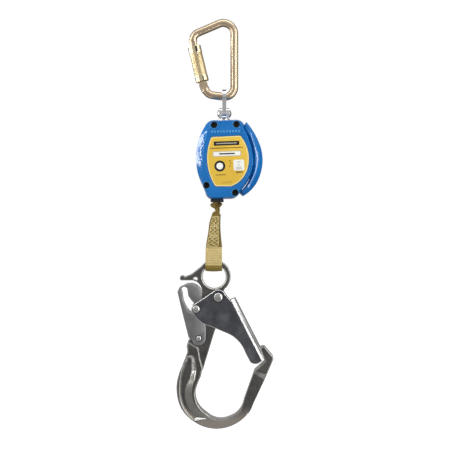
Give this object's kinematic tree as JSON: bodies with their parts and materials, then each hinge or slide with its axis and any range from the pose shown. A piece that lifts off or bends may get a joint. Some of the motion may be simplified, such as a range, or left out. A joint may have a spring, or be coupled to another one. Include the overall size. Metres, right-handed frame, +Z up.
{
  "type": "self retracting lifeline",
  "caption": "Compact webbing lifeline that winds itself into a swivelling plastic housing, with a twist lock carabiner above and a large forged scaffold hook with a locking gate below.",
  "frame": {"origin": "anchor seat: inside the top bow of the carabiner, on the swivel axis", "axes": "+Z up along the hanging line, -Y toward the side with the label, +X to the right seen from the label side"},
  "size_m": [0.1377, 0.059, 0.5802],
  "materials": {
    "zinc_steel": "satin",
    "sleeve_gold": "satin",
    "polished_steel": "polished",
    "spring_steel": "satin",
    "blue_plastic": "gloss",
    "label_film": "satin",
    "black_screw": "satin",
    "black_rubber": "matte",
    "frame_steel": "satin",
    "bronze": "satin",
    "brake_pad": "matte",
    "drum_aluminium": "satin",
    "webbing": "woven",
    "sleeve_fabric": "woven",
    "forged_aluminium": "satin",
    "gate_steel": "satin",
    "lever_steel": "satin",
    "rivet_steel": "polished"
  },
  "bodies": {
    "carabiner": {"carabiner_body": "zinc_steel", "gate_hinge_pin": "zinc_steel"},
    "carabiner_gate": {"carabiner_gate": "sleeve_gold", "gate_latch_pin": "spring_steel", "gate_spring": "spring_steel", "sleeve_spring": "spring_steel", "sleeve_retaining_ring": "spring_steel"},
    "lock_sleeve": {"lock_sleeve": "sleeve_gold"},
    "link": {"connector_link": "polished_steel"},
    "clevis": {"swivel_clevis": "polished_steel", "clevis_pin": "polished_steel", "swivel_washer": "frame_steel", "swivel_nut": "frame_steel"},
    "housing": {"front_cover": "blue_plastic", "rear_cover": "blue_plastic", "label_plate": "label_film", "cover_screws": "black_screw", "cover_nuts": "frame_steel", "load_frame": "frame_steel", "drum_shaft": "frame_steel", "shaft_retaining_ring": "spring_steel", "brake_lining": "brake_pad", "ratchet_ring": "frame_steel", "ring_screws": "frame_steel", "spring_case": "frame_steel", "spring_case_lid": "frame_steel", "power_spring": "spring_steel", "exit_guide": "black_rubber", "roller_pins": "frame_steel", "web_run": "webbing", "web_strap": "webbing"},
    "drum": {"drum": "drum_aluminium", "web_pack": "webbing", "shaft_bushes": "bronze", "spring_arbor": "frame_steel", "pawl_pivots": "frame_steel", "pawl_springs": "spring_steel"},
    "pawl_a": {"pawl_a": "spring_steel"},
    "pawl_b": {"pawl_b": "spring_steel"},
    "left_roller": {"left_roller": "frame_steel"},
    "right_roller": {"right_roller": "frame_steel"},
    "lifeline": {"web_stitched": "webbing", "web_loop": "webbing", "loop_sleeve": "sleeve_fabric"},
    "hook": {"hook_frame": "forged_aluminium", "gate_pivot_rivet": "rivet_steel", "lever_rivet": "rivet_steel", "lever_spring": "spring_steel", "gate_return_springs": "spring_steel"},
    "hook_gate": {"hook_gate": "gate_steel", "gate_link_rivet": "rivet_steel"},
    "lock_lever": {"lock_lever": "lever_steel"}
  },
  "joints": [
    {"name": "carabiner_gate_hinge", "type": "hinge", "parent": "carabiner", "child": "carabiner_gate", "pos_m": [-0.0294, 0, -0.0841], "axis": [0, 1, 0], "range_deg": [0, 26], "stiffness_Nm_per_rad": 0.1, "springref_deg": -28.65},
    {"name": "lock_sleeve_twist", "type": "hinge", "parent": "carabiner_gate", "child": "lock_sleeve", "pos_m": [-0.0294, 0, -0.0841], "axis": [-0.2317, 0, 0.9728], "range_deg": [0, 110], "stiffness_Nm_per_rad": 0.01, "springref_deg": -17.19},
    {"name": "link_swing", "type": "hinge", "parent": "carabiner", "child": "link", "pos_m": [0, 0, -0.1001], "axis": [1, 0, 0], "range_deg": [-45, 45]},
    {"name": "clevis_swing", "type": "hinge", "parent": "link", "child": "clevis", "pos_m": [0, 0, -0.1239], "axis": [1, 0, 0], "range_deg": [-45, 45]},
    {"name": "housing_swivel", "type": "hinge", "parent": "clevis", "child": "housing", "pos_m": [0, 0, -0.14], "axis": [0, 0, 1], "continuous": true},
    {"name": "lifeline_pull", "type": "slide", "parent": "housing", "child": "lifeline", "axis": [0, 0, -1], "range_m": [0, 1.5], "stiffness_N_per_m": 5, "springref_m": -4, "deforming": ["web_strap"]},
    {"name": "drum_spin", "type": "hinge", "parent": "housing", "child": "drum", "pos_m": [0.006, 0, -0.1913], "axis": [0, -1, 0], "range_deg": [0, 2610.01]},
    {"name": "left_roller_spin", "type": "hinge", "parent": "housing", "child": "left_roller", "pos_m": [-0.01495, 0, -0.236], "axis": [0, 1, 0], "range_deg": [0, 21490]},
    {"name": "right_roller_spin", "type": "hinge", "parent": "housing", "child": "right_roller", "pos_m": [-0.00525, 0, -0.236], "axis": [0, -1, 0], "range_deg": [0, 21490]},
    {"name": "pawl_a_swing", "type": "hinge", "parent": "drum", "child": "pawl_a", "pos_m": [0.02365, 0, -0.17992], "axis": [0, 1, 0], "range_deg": [0, 20], "stiffness_Nm_per_rad": 0.01, "springref_deg": -17.19},
    {"name": "pawl_b_swing", "type": "hinge", "parent": "drum", "child": "pawl_b", "pos_m": [-0.01165, 0, -0.20268], "axis": [0, 1, 0], "range_deg": [0, 20], "stiffness_Nm_per_rad": 0.01, "springref_deg": -17.19},
    {"name": "hook_swing", "type": "hinge", "parent": "lifeline", "child": "hook", "pos_m": [-0.0143, 0, -0.3544], "axis": [0, 1, 0], "range_deg": [-25, 40]},
    {"name": "hook_gate_opening", "type": "hinge", "parent": "hook", "child": "hook_gate", "pos_m": [-0.0085, 0, -0.3833], "axis": [0, 1, 0], "range_deg": [0, 36], "stiffness_Nm_per_rad": 0.2, "springref_deg": -34.38},
    {"name": "lock_lever_press", "type": "hinge", "parent": "hook", "child": "lock_lever", "pos_m": [-0.0362, 0, -0.4421], "axis": [0, 1, 0], "range_deg": [0, 10.5], "stiffness_Nm_per_rad": 0.1, "springref_deg": -17.19}
  ],
  "couplings": [
    {"joint": "lock_sleeve_twist", "follows": "carabiner_gate_hinge", "ratio": 4.2308},
    {"joint": "drum_spin", "follows": "lifeline_pull", "rad_per_m": 30.369},
    {"joint": "left_roller_spin", "follows": "lifeline_pull", "rad_per_m": 250},
    {"joint": "right_roller_spin", "follows": "lifeline_pull", "rad_per_m": 250},
    {"joint": "pawl_b_swing", "follows": "pawl_a_swing", "ratio": 1},
    {"joint": "lock_lever_press", "follows": "hook_gate_opening", "ratio": 0.29167}
  ]
}
